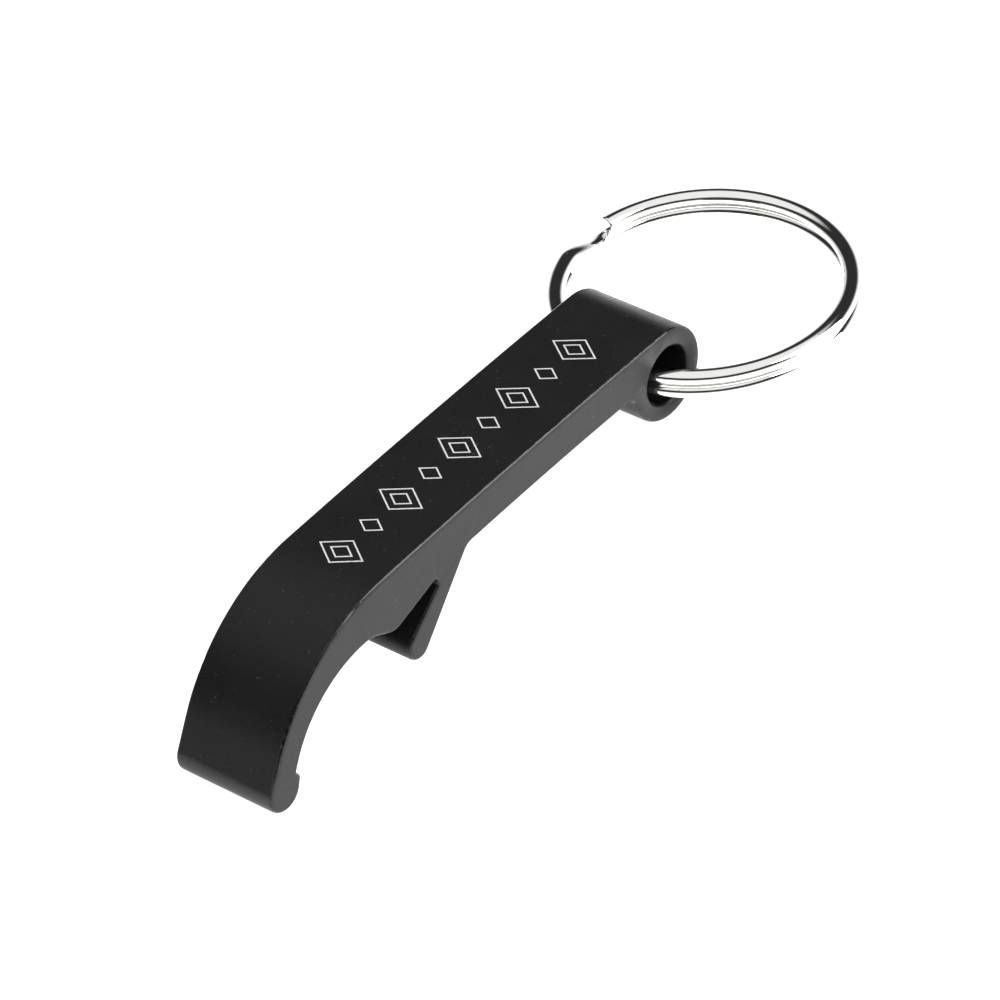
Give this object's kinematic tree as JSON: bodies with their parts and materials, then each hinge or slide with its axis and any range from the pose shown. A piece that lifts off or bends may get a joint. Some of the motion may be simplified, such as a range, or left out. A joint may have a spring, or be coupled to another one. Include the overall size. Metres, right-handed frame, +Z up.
{
  "type": "keychain bottle opener",
  "caption": "Bar-shaped keychain bottle opener with a hooked cap jaw at one end and a split ring through an eye at the other.",
  "frame": {"origin": "on the table, under the middle of the whole object as it stands on its hook tip, its eye and the far side of its ring", "axes": "+X from the hook towards the eye and ring, +Y along the eye's hole and the opener's width, +Z up"},
  "size_m": [0.0764, 0.0263, 0.0121],
  "materials": {
    "black_anodised_aluminium": "fine bead-blasted, black anodised, satin",
    "nickel_plated_spring_steel": "bright nickel plate, polished"
  },
  "bodies": {
    "opener": {"opener_body": "black_anodised_aluminium"},
    "ring": {"split_ring": "nickel_plated_spring_steel"}
  },
  "joints": [
    {"name": "ring_swing", "type": "hinge", "parent": "opener", "child": "ring", "pos_m": [0.01425, 0, 0.00408], "axis": [0, -1, 0], "range_deg": [-177, 164]}
  ]
}
